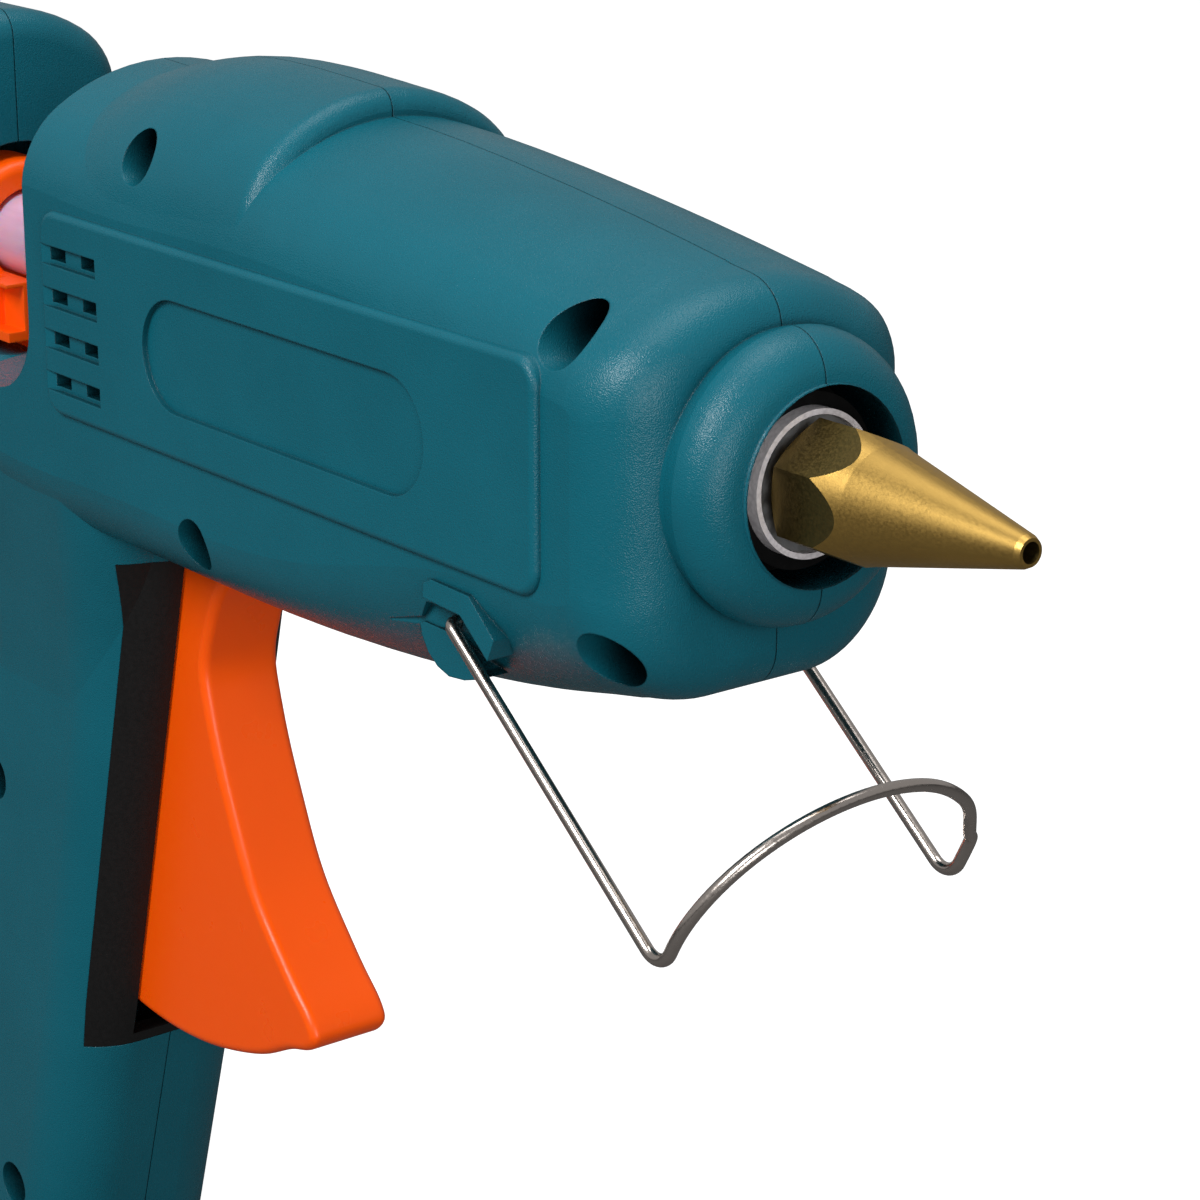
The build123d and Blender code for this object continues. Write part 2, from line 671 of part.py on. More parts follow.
# ---------------------------------------------------------------- trigger
with BuildPart() as trigger:
    foot = [(PIVOT[0] + TRIGGER_FOOT_R * sin(radians(turn)), PIVOT[1] - TRIGGER_FOOT_R * cos(radians(turn)))
            for turn in TRIGGER_FOOT_TURNS]
    with BuildSketch(side(TRIGGER_W)):
        with BuildLine():
            Spline(*TRIGGER_FACE, *foot)
            Polyline(foot[-1], *TRIGGER_BACK, TRIGGER_FACE[0])
        make_face()
    extrude(amount=2 * TRIGGER_W)
    fillet(trigger.edges().filter_by(GeomType.BSPLINE), TRIGGER_EDGE_R)
    add(rod(*PIVOT, TRIGGER_HUB_R, -TRIGGER_W, TRIGGER_W))
    lean = radians(TRIGGER_PULL / 2)
    with BuildSketch(side(TRIGGER_ARM_W)):
        with BuildLine():
            half = [(PIVOT[0] - s * sin(lean) + w * cos(lean), PIVOT[1] + s * cos(lean) + w * sin(lean))
                    for s, w in ARM_SHAPE]
            Polyline(*half, *[(PIVOT[0] - s * sin(lean) - w * cos(lean), PIVOT[1] + s * cos(lean) - w * sin(lean))
                              for s, w in ARM_SHAPE[::-1]], close=True)
        make_face()
    extrude(amount=2 * TRIGGER_ARM_W)
    add(rod(*FINGER, FINGER_R, -TRIGGER_ARM_W, TRIGGER_ARM_W))
    add(rod(*PIVOT, PIVOT_R + FIT, -FAR, FAR), mode=Mode.SUBTRACT)
save(trigger.part, "trigger")

with BuildPart() as trigger_pin:
    add(rod(*PIVOT, PIVOT_R, -PIVOT_PIN_Y, PIVOT_PIN_Y))
    chamfer(trigger_pin.edges().filter_by(GeomType.CIRCLE), 0.3)
save(trigger_pin.part, "trigger_pin")

# ---------------------------------------------------------------- feed carriage
with BuildPart() as carriage:
    add(tube(*RING_X, RING_R))
    fillet(carriage.edges().filter_by(GeomType.CIRCLE).sort_by(Axis.X)[-1], 1.6)
    add(block(CARRIAGE_X, (-CARRIAGE_W, CARRIAGE_W), (CARRIAGE_Z, CARRIAGE_TOP_Z)))
    add(block(FOOT_X, (-BAR_W, BAR_W), (BAR_Z[1] - 1, CARRIAGE_Z + 1)))
    add(block((BAR_BACK_X, YOKE_X - YOKE_HALF), (-BAR_W, BAR_W), BAR_Z))
    add(block((YOKE_X - YOKE_HALF - 2, PRONG_X), (-BAR_W, BAR_W), BRIDGE_Z))
    add(block((YOKE_X + YOKE_HALF, PRONG_X), (-BAR_W, BAR_W), (BAR_Z[0], BRIDGE_Z[0] + 1)))
    for span in sides(PLATE_FOOT_W + GAP, CARRIAGE_W):
        add(block((PLATE_X[0] - 0.8, CARRIAGE_X[0] + 1), span, (CARRIAGE_Z, PLATE_PIN_Z + 2)))
    add(tube(CARRIAGE_X[0] - 5, CARRIAGE_X[1] + 1, RING_HOLE_R), mode=Mode.SUBTRACT)
    add(block(*CARRIAGE_NOTCH), mode=Mode.SUBTRACT)
    add(rod(PLATE_PIN_X, PLATE_PIN_Z, PLATE_PIN_R + FIT, -FAR, FAR), mode=Mode.SUBTRACT)
save(carriage.part, "carriage")

with BuildPart() as grip_plate:
    with BuildSketch(front(PLATE_X[0])):
        Circle(PLATE_R)
        with Locations((0, PLATE_PIN_Z / 2)):
            Rectangle(2 * PLATE_FOOT_W, -PLATE_PIN_Z)
        with Locations((0, PLATE_PIN_Z)):
            SlotOverall(2 * PLATE_FOOT_W, 2 * PLATE_FOOT_R)
        Circle(PLATE_HOLE_R, mode=Mode.SUBTRACT)
    extrude(amount=PLATE_X[1] - PLATE_X[0])
    add(rod(PLATE_PIN_X, PLATE_PIN_Z, PLATE_FOOT_R, -PLATE_FOOT_W, PLATE_FOOT_W))
    add(rod(PLATE_PIN_X, PLATE_PIN_Z, PLATE_PIN_R + FIT, -FAR, FAR), mode=Mode.SUBTRACT)
save(grip_plate.part, "grip_plate")

with BuildPart() as grip_pin:
    add(rod(PLATE_PIN_X, PLATE_PIN_Z, PLATE_PIN_R, -CARRIAGE_W + 0.2, CARRIAGE_W - 0.2))
save(grip_pin.part, "grip_pin")

with BuildPart() as return_spring:
    with BuildLine():
        coil = Helix(SPRING_PITCH, SPRING_X[1] - SPRING_X[0] - 2 * SPRING_WIRE_R, SPRING_R,
                     center=spot(SPRING_X[0] + SPRING_WIRE_R, 0, SPRING_Z), direction=(1, 0, 0))
    with BuildSketch(Plane(origin=coil @ 0, z_dir=coil % 0)):
        Circle(SPRING_WIRE_R)
    sweep()
save(return_spring.part, "return_spring")

with BuildPart() as glue_stick:
    add(tube(*STICK_X, STICK_R))
    chamfer(glue_stick.edges().filter_by(GeomType.CIRCLE), 0.4)
save(glue_stick.part, "glue_stick")

# ---------------------------------------------------------------- stick guides
with BuildPart() as rear_guide:
    add(tube(BUSH_X[0], BUSH_X[1], BUSH_R))
    add(tube(*BUSH_FLANGE_X, BUSH_FLANGE_R))
    add(tube(BUSH_X[0] - 1, BUSH_X[1] + 1, BUSH_BORE_R), mode=Mode.SUBTRACT)
    mouth = rear_guide.edges().filter_by(GeomType.CIRCLE).filter_by(lambda e: e.radius < BUSH_BORE_R + 0.1)
    chamfer(mouth.sort_by(Axis.X)[0], 0.6)
save(rear_guide.part, "rear_guide")

with BuildPart() as inlet_sleeve:
    add(tube(SLEEVE_X[0], SLEEVE_X[1], SLEEVE_OUT_R))
    add(tube(SLEEVE_X[0] - 1, SLEEVE_X[1] + 1, SLEEVE_BORE_R), mode=Mode.SUBTRACT)
    add(tube(SPIGOT_X - 0.5, SLEEVE_X[1] + 1, SPIGOT_R + FIT), mode=Mode.SUBTRACT)
    chamfer(inlet_sleeve.edges().filter_by(GeomType.CIRCLE).sort_by(Axis.X)[0], 0.5)
save(inlet_sleeve.part, "inlet_sleeve")

with BuildPart() as sleeve_clip:
    add(tube(*CLIP_RING_X, SLEEVE_OUT_R + FIT + 1.0, SLEEVE_OUT_R + FIT))
save(sleeve_clip.part, "sleeve_clip")

# ---------------------------------------------------------------- melt chamber and heater
with BuildPart() as melt_chamber:
    add(tube(CHAMBER_BACK_X, CHAMBER_FRONT_X, CHAMBER_R))
    add(tube(SPIGOT_X, CHAMBER_BACK_X, SPIGOT_R))
    add(tube(CHAMBER_FRONT_X, NECK_X, NECK_R))
    for x in (CHAMBER_RIB_X[0] - FIT - FLANGE_L, CHAMBER_RIB_X[0] + RIB + FIT):
        add(tube(x, x + FLANGE_L, FLANGE_R))
    add(block(CRADLE_X, (-CRADLE_W, CRADLE_W), (CRADLE_Z, 0)))
    add(block(CRADLE_X, (-FAR, FAR), (-FAR, CRADLE_Z)), mode=Mode.SUBTRACT)
    with BuildSketch(side(0)):
        with BuildLine():
            Polyline((SPIGOT_X - 1, 0), (SPIGOT_X - 1, CHAMBER_BORE_R), (TAPER_X[0], CHAMBER_BORE_R),
                     (TAPER_X[1], NOZZLE_SPIGOT_R + FIT), (NECK_X + 1, NOZZLE_SPIGOT_R + FIT), (NECK_X + 1, 0),
                     close=True)
        make_face()
    revolve(axis=Axis(spot(0, 0, 0), (1, 0, 0)), mode=Mode.SUBTRACT)
save(melt_chamber.part, "melt_chamber")

with BuildPart() as ptc_heater:
    add(block(HEATER_X, (-HEATER_W, HEATER_W), HEATER_Z))
save(ptc_heater.part, "ptc_heater")

with BuildPart() as ptc_insulator:
    inside = HEATER_W + FIT
    add(block((HEATER_X[0] + 1, HEATER_X[1] + 1), (-inside - FILM, inside + FILM),
              (HEATER_Z[0] - FIT - FILM, HEATER_Z[1] + FIT + FILM)))
    add(block((HEATER_X[0], HEATER_X[1] + 2), (-inside, inside), (HEATER_Z[0] - FIT, HEATER_Z[1] + FIT)),
        mode=Mode.SUBTRACT)
save(ptc_insulator.part, "ptc_insulator")

with BuildPart() as heater_clip:
    floor = HEATER_Z[0] - 2 * FIT - FILM
    for reach, mode in ((CLIP_T, Mode.ADD), (0.0, Mode.SUBTRACT)):
        add(tube(*HEATER_CLIP_X, CHAMBER_R + FIT + reach), mode=mode)
        add(block(HEATER_CLIP_X, (-CHAMBER_R - FIT - reach, CHAMBER_R + FIT + reach), (floor - reach, 0)), mode=mode)
save(heater_clip.part, "heater_clip")

# ---------------------------------------------------------------- nozzle
with BuildPart() as nozzle_sleeve:
    add(tube(*NOZZLE_SLEEVE_X, SLEEVE_R, NECK_R + FIT))
save(nozzle_sleeve.part, "nozzle_sleeve")

with BuildPart() as neck_support:
    add(tube(*SUPPORT_X, COLLAR_HOLE_R - FIT, SLEEVE_R + FIT))
    add(tube(SUPPORT_X[1], SUPPORT_HUB_X, SUPPORT_HUB_R, SLEEVE_R + FIT))
save(neck_support.part, "neck_support")

with BuildPart() as nozzle:
    with BuildSketch(front(HEX_BACK_X)):
        RegularPolygon(HEX_R, 6, rotation=HEX_TURN)
    extrude(amount=TIP_X - HEX_BACK_X)
    with BuildSketch(side(0)):
        with BuildLine():
            Polyline((HEX_BACK_X, 0), (HEX_BACK_X, HEX_R - 1.0), (HEX_BACK_X + 0.6, HEX_R), *NOZZLE_CONE,
                     (TIP_X, NOZZLE_CONE[-1][1] - 0.3), (TIP_X, 0), close=True)
        make_face()
    revolve(axis=Axis(spot(0, 0, 0), (1, 0, 0)), mode=Mode.INTERSECT)
    add(tube(NOZZLE_SPIGOT_X, HEX_BACK_X + 1, NOZZLE_SPIGOT_R))
    with BuildSketch(side(0)):
        with BuildLine():
            Polyline((NOZZLE_SPIGOT_X - 1, 0), (NOZZLE_SPIGOT_X - 1, NOZZLE_BORE_R), (NOZZLE_TAPER_X[0], NOZZLE_BORE_R),
                     (NOZZLE_TAPER_X[1], ORIFICE_R), (TIP_X + 1, ORIFICE_R), (TIP_X + 1, 0), close=True)
        make_face()
    revolve(axis=Axis(spot(0, 0, 0), (1, 0, 0)), mode=Mode.SUBTRACT)
save(nozzle.part, "nozzle")

# ---------------------------------------------------------------- wiring and cord inlet
def lead(hand):
    """One insulated lead, from the heater's end back and down to the terminal block."""
    stops = [(HEATER_X[0] - FIT, 4.0, -10.5), (HEATER_X[0] - 1.6, 4.0, -10.5),
             (CHAMBER_RIB_X[0] + 3.5, LEAD_Y, LEAD_Z), (-131.0, LEAD_Y, LEAD_Z), (-138.0, LEAD_Y, -26.0),
             (-141.0, LEAD_Y, -72.0), (-151.0, LEAD_Y, -96.0),
             (TERMINAL_MID_X, TERMINAL_PITCH / 2, TERMINAL_Z[1] + 5.5),
             (TERMINAL_MID_X, TERMINAL_PITCH / 2, TERMINAL_Z[1] - 3)]
    with BuildPart() as form:
        with BuildLine() as route:
            FilletPolyline(*[spot(x, hand * y, z) for x, y, z in stops], radius=LEAD_BENDS)
        with BuildSketch(Plane(origin=route.wire() @ 0, z_dir=route.wire() % 0)):
            Circle(LEAD_R)
        sweep()
    return form.part


for name, hand in (("live_lead", -1), ("neutral_lead", 1)):
    save(lead(hand), name)

with BuildPart() as terminal_block:
    add(block(TERMINAL_X, (-TERMINAL_Y, TERMINAL_Y), TERMINAL_Z))
    chamfer(terminal_block.edges().filter_by(Axis.Z), 0.8)
    for y in (-TERMINAL_PITCH / 2, TERMINAL_PITCH / 2):
        add(post(TERMINAL_MID_X, y, TERMINAL_Z[0] - 1, TERMINAL_Z[1] + 1, LEAD_R + FIT), mode=Mode.SUBTRACT)
        with BuildSketch(front(TERMINAL_SCREW_X)):
            with Locations((y, TERMINAL_SCREW_Z)):
                Circle(TERMINAL_SCREW_R + FIT)
        extrude(amount=TERMINAL_X[1] - TERMINAL_SCREW_X + 1, mode=Mode.SUBTRACT)
save(terminal_block.part, "terminal_block")

with BuildPart() as terminal_screws:
    for y in (-TERMINAL_PITCH / 2, TERMINAL_PITCH / 2):
        add(tube(TERMINAL_SCREW_X + FIT, TERMINAL_X[1] - 0.5, TERMINAL_SCREW_R, y=y, z=TERMINAL_SCREW_Z))
        add(block((TERMINAL_X[1] - 1.2, TERMINAL_X[1]), (y - TERMINAL_SCREW_R, y + TERMINAL_SCREW_R),
                  (TERMINAL_SCREW_Z - 0.25, TERMINAL_SCREW_Z + 0.25)), mode=Mode.SUBTRACT)
save(terminal_screws.part, "terminal_screws")

with BuildPart() as cord_gland:
    add(post(GLAND_X, 0, BASE_Z, BASE_Z + GLAND_L, GLAND_R))
    add(post(GLAND_X, 0, BASE_Z + WALL + FIT, BASE_Z + WALL + FIT + GLAND_FLANGE_L, GLAND_FLANGE_R))
    add(post(GLAND_X, 0, BASE_Z - 1, BASE_Z + GLAND_L + 1, GLAND_BORE_R), mode=Mode.SUBTRACT)
save(cord_gland.part, "cord_gland")

# ---------------------------------------------------------------- wire stand
with BuildPart() as wire_stand:
    reach = (STAND_FOOT[0] - STAND_PIVOT[0], STAND_FOOT[1] - STAND_PIVOT[1])
    length = sqrt(reach[0] ** 2 + reach[1] ** 2)
    down = (reach[0] / length, reach[1] / length)
    up = (cos(radians(ARCH_TILT)), sin(radians(ARCH_TILT)))
    start = (STAND_FOOT[0] + STAND_STUB * up[0], STAND_FOOT[1] + STAND_STUB * up[1])
    arch = []
    for turn in range(15, 180, 15):
        rise = (STAND_Y - STAND_STUB) * sin(radians(turn))
        arch.append((start[0] + rise * up[0], -STAND_Y * cos(radians(turn)), start[1] + rise * up[1]))
    leg = [(STAND_PIVOT[0], STAND_END_Y, STAND_PIVOT[1]), (STAND_PIVOT[0], STAND_Y, STAND_PIVOT[1]),
           (STAND_FOOT[0], STAND_Y, STAND_FOOT[1]), (start[0], STAND_Y, start[1])]
    with BuildLine() as wire:
        FilletPolyline(*[spot(x, -y, z) for x, y, z in leg], radius=[PIVOT_BEND_R, STAND_BEND_R])
        Spline(spot(start[0], -STAND_Y, start[1]), *[spot(*point) for point in arch],
               spot(start[0], STAND_Y, start[1]), tangents=[(up[0], 0, up[1]), (-up[0], 0, -up[1])])
        FilletPolyline(*[spot(x, y, z) for x, y, z in leg[::-1]], radius=[STAND_BEND_R, PIVOT_BEND_R])
    with BuildSketch(Plane(origin=wire.wire() @ 0, z_dir=wire.wire() % 0)):
        Circle(WIRE_R)
    sweep()
save(wire_stand.part, "wire_stand")

# ---------------------------------------------------------------- screws
with BuildPart() as housing_screws:
    for x, z in SCREWS:
        add(rod(x, z, SCREW_R, SEAT_Y - 0.5, SCREW_END_Y))
        add(rod(x, z, HEAD_R, SEAT_Y - HEAD_H, SEAT_Y))
        for across, along in ((CROSS_L, CROSS_W), (CROSS_W, CROSS_L)):
            add(block((x - across / 2, x + across / 2), (SEAT_Y - HEAD_H - 1, SEAT_Y - HEAD_H + 1),
                      (z - along / 2, z + along / 2)), mode=Mode.SUBTRACT)
save(housing_screws.part, "housing_screws")
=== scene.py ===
"""Looks for the glue gun: materials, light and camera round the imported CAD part."""
import json

import bpy
from mathutils import Matrix, Vector

MM = 0.001
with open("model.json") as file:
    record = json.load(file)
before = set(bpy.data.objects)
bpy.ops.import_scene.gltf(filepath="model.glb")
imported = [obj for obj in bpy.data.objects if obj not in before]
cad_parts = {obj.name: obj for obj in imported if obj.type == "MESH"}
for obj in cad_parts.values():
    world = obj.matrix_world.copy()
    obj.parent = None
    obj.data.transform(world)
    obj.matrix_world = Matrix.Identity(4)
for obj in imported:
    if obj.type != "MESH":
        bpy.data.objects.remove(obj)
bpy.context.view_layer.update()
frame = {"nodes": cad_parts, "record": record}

# the barrel's frame, as in the CAD: x from the collar's front face, z from the nozzle's axis
NOSE_X = 79.2
AXIS_Z = 150.0

# sockets of a Mix node that mixes colours
MIX_FIRST = 6
MIX_SECOND = 7
MIX_RESULT = 2

# ground and world: what the camera sees, and the dim look that every other ray gets
GROUND_SIZE = 60
GROUND_WHITE = 0.5
GROUND_GLOW = 0.8
GROUND_DIM = 0.12
WORLD_WHITE = 1.0
WORLD_DIM = 0.3

# the photo's camera, worked out from the barrel's straight edges and the round collar
CAMERA_SENSOR = 36.0
CAMERA_LENS = 103.87
CAMERA_PLACE = (0.3271, -0.2226, 0.2431)
CAMERA_RIGHT = (0.61596, 0.78778, 0.0)
CAMERA_UP = (-0.23689, 0.18523, 0.95372)


def spot(x, y, z):
    """A point of the barrel's frame, given in millimetres."""
    return Vector((NOSE_X + x, y, AXIS_Z + z)) * MM


# ---------------------------------------------------------------- shader helpers
class Shader:
    """One node material, built up by short calls.

    The methods take lengths in millimetres.  A socket given by name is in Blender's own metres.
    """

    def __init__(self, name, colour, roughness, **sockets):
        self.material = bpy.data.materials.new(name)
        self.material.use_nodes = True
        self.tree = self.material.node_tree
        self.shader = self.tree.nodes["Principled BSDF"]
        self.set("Base Color", (*colour, 1.0))
        self.set("Roughness", roughness)
        for socket, value in sockets.items():
            self.set(socket.replace("_", " "), value)
        self.coords = self.add("ShaderNodeTexCoord").outputs["Object"]
        self.normal = None

    def add(self, kind, **settings):
        node = self.tree.nodes.new(kind)
        for key, value in settings.items():
            setattr(node, key, value)
        return node

    def link(self, output, socket):
        self.tree.links.new(output, socket)

    def set(self, socket, value):
        self.shader.inputs[socket].default_value = value

    def feed(self, socket, output):
        self.link(output, self.shader.inputs[socket])

    def noise(self, size, detail=2.0, stretch=(1, 1, 1)):
        """Noise whose features are about size across, longer along an axis where stretch is more."""
        mapping = self.add("ShaderNodeMapping")
        mapping.inputs["Scale"].default_value = [1 / (size * MM * times) for times in stretch]
        self.link(self.coords, mapping.inputs["Vector"])
        node = self.add("ShaderNodeTexNoise")
        node.inputs["Scale"].default_value = 1.0
        node.inputs["Detail"].default_value = detail
        self.link(mapping.outputs["Vector"], node.inputs["Vector"])
        return node.outputs["Fac"]

    def cells(self, size):
        mapping = self.add("ShaderNodeMapping")
        mapping.inputs["Scale"].default_value = [1 / (size * MM)] * 3
        self.link(self.coords, mapping.inputs["Vector"])
        node = self.add("ShaderNodeTexVoronoi")
        node.inputs["Scale"].default_value = 1.0
        self.link(mapping.outputs["Vector"], node.inputs["Vector"])
        return node.outputs["Distance"]

    def along(self, axis):
        """How far the surface leans along one of the model's axes."""
        split = self.add("ShaderNodeSeparateXYZ")
        self.link(self.add("ShaderNodeTexCoord").outputs["Normal"], split.inputs["Vector"])
        return split.outputs[axis]

    def blend(self, source, low, high, start=0.3, end=0.7):
        """A colour or a grey that goes from low to high as source goes from start to end."""
        node = self.add("ShaderNodeValToRGB")
        for element, place, value in zip(node.color_ramp.elements, (start, end), (low, high)):
            element.position = place
            element.color = (*value, 1.0) if isinstance(value, tuple) else (value, value, value, 1.0)
        self.link(source, node.inputs["Fac"])
        return node.outputs["Color"]

    def paint_hollow_shade(self, colour, shade_colour, reach):
        """Paints shade into colour: darkens it towards the given shade colour in hollows no wider than
        reach.
        """
        # painted shade: ambient occlusion picks out the hollows that get the darker colour
        hollow = self.add("ShaderNodeAmbientOcclusion", samples=8)
        hollow.inputs["Distance"].default_value = reach * MM
        node = self.add("ShaderNodeMix", data_type="RGBA")
        self.link(self.blend(hollow.outputs["AO"], 0.0, 1.0, 0.2, 0.72), node.inputs["Factor"])
        node.inputs[MIX_FIRST].default_value = (*shade_colour, 1.0)
        self.link(colour, node.inputs[MIX_SECOND])
        return node.outputs[MIX_RESULT]

    def soften(self, radius):
        """Rounds the look of sharp edges."""
        node = self.add("ShaderNodeBevel", samples=4)
        node.inputs["Radius"].default_value = radius * MM
        self.normal = node.outputs["Normal"]
        self.feed("Normal", self.normal)

    def bump(self, height, depth, strength=1.0):
        node = self.add("ShaderNodeBump")
        node.inputs["Strength"].default_value = strength
        node.inputs["Distance"].default_value = depth * MM
        self.link(height, node.inputs["Height"])
        if self.normal is not None:
            self.link(self.normal, node.inputs["Normal"])
        self.normal = node.outputs["Normal"]
        self.feed("Normal", self.normal)


# ---------------------------------------------------------------- materials
def teal_plastic():
    """Moulded plastic with a fine spark-eroded grain, a little uneven in colour, with painted shade
    darkening its hollows.
    """
    s = Shader("teal_plastic", (0.004, 0.116, 0.16), 0.42, Specular_IOR_Level=0.3)
    tone = s.blend(s.noise(14, 3), (0.0035, 0.11, 0.152), (0.0045, 0.122, 0.168))
    # painted shade: the colour darkens to near black deep in hollows, vents and crevices
    s.feed("Base Color", s.paint_hollow_shade(tone, (0.0004, 0.008, 0.011), 9.0))
    s.feed("Roughness", s.blend(s.noise(0.5, 2), 0.24, 0.36))
    s.soften(0.25)
    s.bump(s.noise(0.15, 0.5), 0.055, 1.0)
    return s.material


def orange_plastic():
    """Smooth glossy plastic with faint flow waves and a faint painted glow."""
    # the emission is a painted glow: the plastic lights itself a little, though it is no lamp
    s = Shader("orange_plastic", (1.0, 0.1, 0.001), 0.3, Subsurface_Weight=0.08, Subsurface_Scale=0.002,
               Specular_IOR_Level=0.35, Emission_Color=(1.0, 0.08, 0.001, 1.0), Emission_Strength=0.05)
    s.feed("Roughness", s.blend(s.noise(6, 3), 0.26, 0.36))
    s.soften(0.3)
    s.bump(s.noise(5, 2), 0.05, 0.25)
    return s.material


def black_plastic():
    s = Shader("black_plastic", (0.006, 0.006, 0.006), 0.5, Specular_IOR_Level=0.3)
    s.feed("Roughness", s.blend(s.noise(0.6, 2), 0.42, 0.6))
    s.bump(s.noise(0.25, 1.5), 0.02, 0.5)
    return s.material


def stick_glue():
    """Milky translucent hot-melt glue with faint drawing streaks."""
    s = Shader("stick_glue", (0.6, 0.42, 0.58), 0.32, Subsurface_Weight=0.7, Subsurface_Scale=0.006)
    s.feed("Base Color", s.blend(s.noise(1.2, 3, (12, 1, 1)), (0.55, 0.37, 0.52), (0.64, 0.45, 0.62)))
    s.bump(s.noise(0.8, 3, (14, 1, 1)), 0.05, 0.35)
    return s.material


def turned_brass():
    """Brass with turning marks round the axis and a fine satin grain.

    The hexagon's flats, which don't lean along x as the cone does, get painted shade: a darker colour than
    the cone's.
    """
    s = Shader("turned_brass", (0.55, 0.35, 0.1), 0.45, Metallic=1.0)
    # painted shade: the colour darkens where the surface doesn't lean along x, on the hexagon's flats
    s.feed("Base Color", s.blend(s.along("X"), (0.24, 0.17, 0.055), (0.54, 0.34, 0.09), 0.03, 0.12))
    s.feed("Roughness", s.blend(s.noise(0.3, 2), 0.34, 0.48))
    s.bump(s.noise(0.16, 2, (1, 60, 60)), 0.006, 0.5)
    s.bump(s.noise(0.14, 1), 0.012, 0.6)
    return s.material


def cast_aluminium():
    s = Shader("cast_aluminium", (0.55, 0.56, 0.57), 0.45, Metallic=1.0)
    s.feed("Roughness", s.blend(s.noise(1.5, 3), 0.38, 0.6))
    s.bump(s.noise(0.7, 3), 0.08, 0.5)
    return s.material


def woven(name, colour, dark):
    """Braided glass fibre."""
    s = Shader(name, colour, 0.55)
    fibre = s.cells(0.55)
    s.feed("Base Color", s.blend(fibre, colour, dark, 0.35, 0.85))
    s.bump(fibre, 0.06, 0.5)
    return s.material


def speckled(name, colour, dark, roughness, size, depth, **sockets):
    """Any fine-grained stuff: its colour drifts from dark to colour and its skin is a little rough."""
    s = Shader(name, colour, roughness, **sockets)
    s.feed("Base Color", s.blend(s.noise(size * 4, 3), dark, colour))
    s.bump(s.noise(size, 2), depth, 0.5)
    return s.material


def drawn_metal(name, colour, roughness, stretch):
    """Drawn or rolled metal, with fine lines along the longest side of stretch."""
    s = Shader(name, colour, roughness, Metallic=1.0)
    s.feed("Roughness", s.blend(s.noise(0.5, 3, stretch), roughness * 0.75, roughness * 1.4))
    s.bump(s.noise(0.12, 2, stretch), 0.001, 0.4)
    return s.material


LOOKS = {
    "teal_plastic": teal_plastic(),
    "orange_plastic": orange_plastic(),
    "black_plastic": black_plastic(),
    "stick_glue": stick_glue(),
    "turned_brass": turned_brass(),
    "cast_aluminium": cast_aluminium(),
    "white_sleeve": woven("white_sleeve", (0.92, 0.87, 0.89), (0.72, 0.68, 0.7)),
    "heat_rubber": speckled("heat_rubber", (0.004, 0.004, 0.004), (0.002, 0.002, 0.002), 0.8, 0.4, 0.03,
                            Specular_IOR_Level=0.15),
    "inlet_silicone": speckled("inlet_silicone", (0.5, 0.08, 0.04), (0.44, 0.06, 0.03), 0.5, 0.8, 0.03),
    "heater_plate": speckled("heater_plate", (0.3, 0.28, 0.25), (0.2, 0.19, 0.17), 0.6, 0.3, 0.03),
    "insulating_film": speckled("insulating_film", (0.6, 0.25, 0.03), (0.5, 0.19, 0.02), 0.25, 3.0, 0.1),
    "spring_steel": drawn_metal("spring_steel", (0.42, 0.42, 0.43), 0.3, (12, 1, 1)),
    "nickel_wire": drawn_metal("nickel_wire", (0.66, 0.59, 0.54), 0.2, (1, 1, 1)),
    "screw_steel": drawn_metal("screw_steel", (0.03, 0.03, 0.033), 0.4, (1, 1, 1)),
    "lead_insulation": woven("lead_insulation", (0.72, 0.72, 0.7), (0.45, 0.45, 0.44)),
    "terminal_plastic": speckled("terminal_plastic", (0.75, 0.73, 0.67), (0.7, 0.68, 0.62), 0.45, 0.4, 0.02),
}
for part in frame["record"]["subparts"]:
    node = frame["nodes"][part["node"]]
    node.data.materials.clear()
    node.data.materials.append(LOOKS[part["material_slot"]])


# ---------------------------------------------------------------- floor, light and camera
LAMPS_AIM = spot(-40, 0, -20)


def softbox(name, place, size, power):
    """An area light that faces the barrel."""
    data = bpy.data.lights.new(name, "AREA")
    data.shape = "RECTANGLE"
    data.size, data.size_y = size
    data.energy = power
    lamp = bpy.data.objects.new(name, data)
    lamp.location = place
    lamp.rotation_euler = (LAMPS_AIM - lamp.location).to_track_quat("-Z", "Y").to_euler()
    bpy.context.scene.collection.objects.link(lamp)


for name, place, size, power in (("key_box", (0.2, -0.72, 0.78), (0.3, 0.4), 7.2),
                                 ("top_box", (0.0, 0.15, 1.4), (0.8, 0.8), 6),
                                 ("fill_box", (1.1, -0.5, 0.3), (0.5, 0.6), 5)):
    softbox(name, place, size, power)


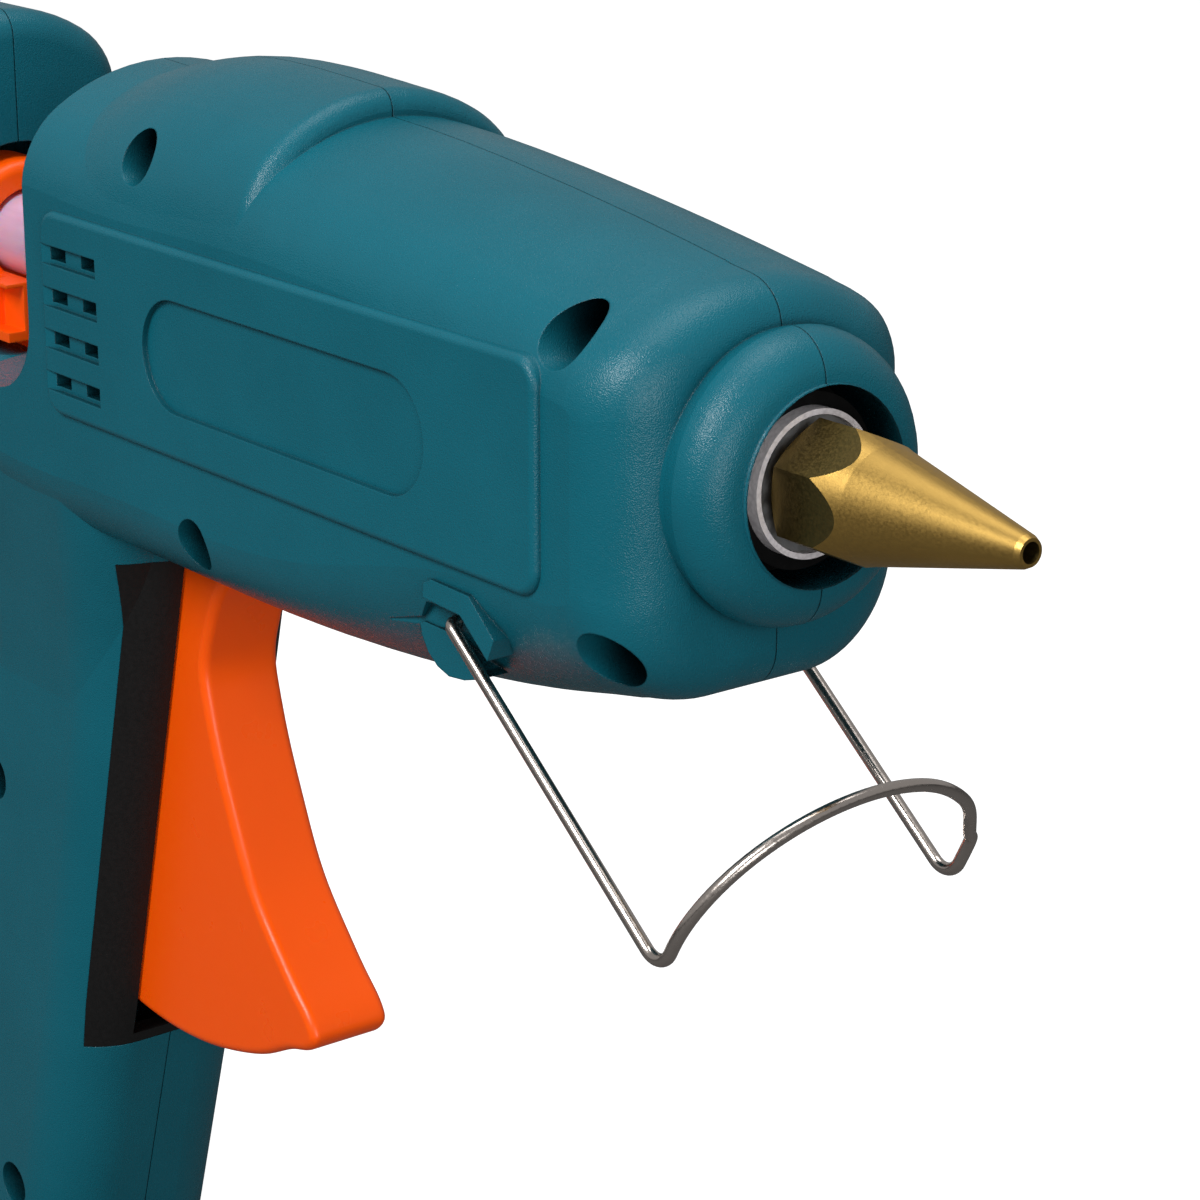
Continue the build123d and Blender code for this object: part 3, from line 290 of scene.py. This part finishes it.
def white_for_camera(tree, seen, unseen, output):
    """Shows the camera one shader and every other ray the other, so that white ground lights little."""
    path = tree.nodes.new("ShaderNodeLightPath")
    mixer = tree.nodes.new("ShaderNodeMixShader")
    tree.links.new(path.outputs["Is Camera Ray"], mixer.inputs[0])
    tree.links.new(unseen, mixer.inputs[1])
    tree.links.new(seen, mixer.inputs[2])
    tree.links.new(mixer.outputs[0], output)


def plain(tree, kind, grey, strength=None):
    """The output of a plain shader node in one grey."""
    node = tree.nodes.new(kind)
    node.inputs["Color"].default_value = (grey, grey, grey, 1.0)
    if strength is not None:
        node.inputs["Strength"].default_value = strength
    return node.outputs[0]


bpy.ops.mesh.primitive_plane_add(size=GROUND_SIZE)
floor = bpy.context.object
floor.name = "floor"
floor_look = bpy.data.materials.new("floor_white")
floor_look.use_nodes = True
tree = floor_look.node_tree
lit = tree.nodes.new("ShaderNodeAddShader")
tree.links.new(plain(tree, "ShaderNodeBsdfDiffuse", GROUND_WHITE), lit.inputs[0])
tree.links.new(plain(tree, "ShaderNodeEmission", 1.0, GROUND_GLOW), lit.inputs[1])
white_for_camera(tree, lit.outputs[0], plain(tree, "ShaderNodeBsdfDiffuse", GROUND_DIM),
                 tree.nodes["Material Output"].inputs["Surface"])
floor.data.materials.append(floor_look)

world = bpy.data.worlds.new("studio")
bpy.context.scene.world = world
world.use_nodes = True
tree = world.node_tree
white_for_camera(tree, plain(tree, "ShaderNodeBackground", 1.0, WORLD_WHITE),
                 plain(tree, "ShaderNodeBackground", 1.0, WORLD_DIM),
                 tree.nodes["World Output"].inputs["Surface"])

camera_data = bpy.data.cameras.new("camera")
camera_data.sensor_width = CAMERA_SENSOR
camera_data.lens = CAMERA_LENS
camera = bpy.data.objects.new("camera", camera_data)
right, up = Vector(CAMERA_RIGHT), Vector(CAMERA_UP)
turn = Matrix((right, up, right.cross(up))).transposed().to_4x4()
camera.matrix_world = Matrix.Translation(CAMERA_PLACE) @ turn
bpy.context.scene.collection.objects.link(camera)
bpy.context.scene.camera = camera
bpy.context.scene.view_settings.view_transform = "Standard"
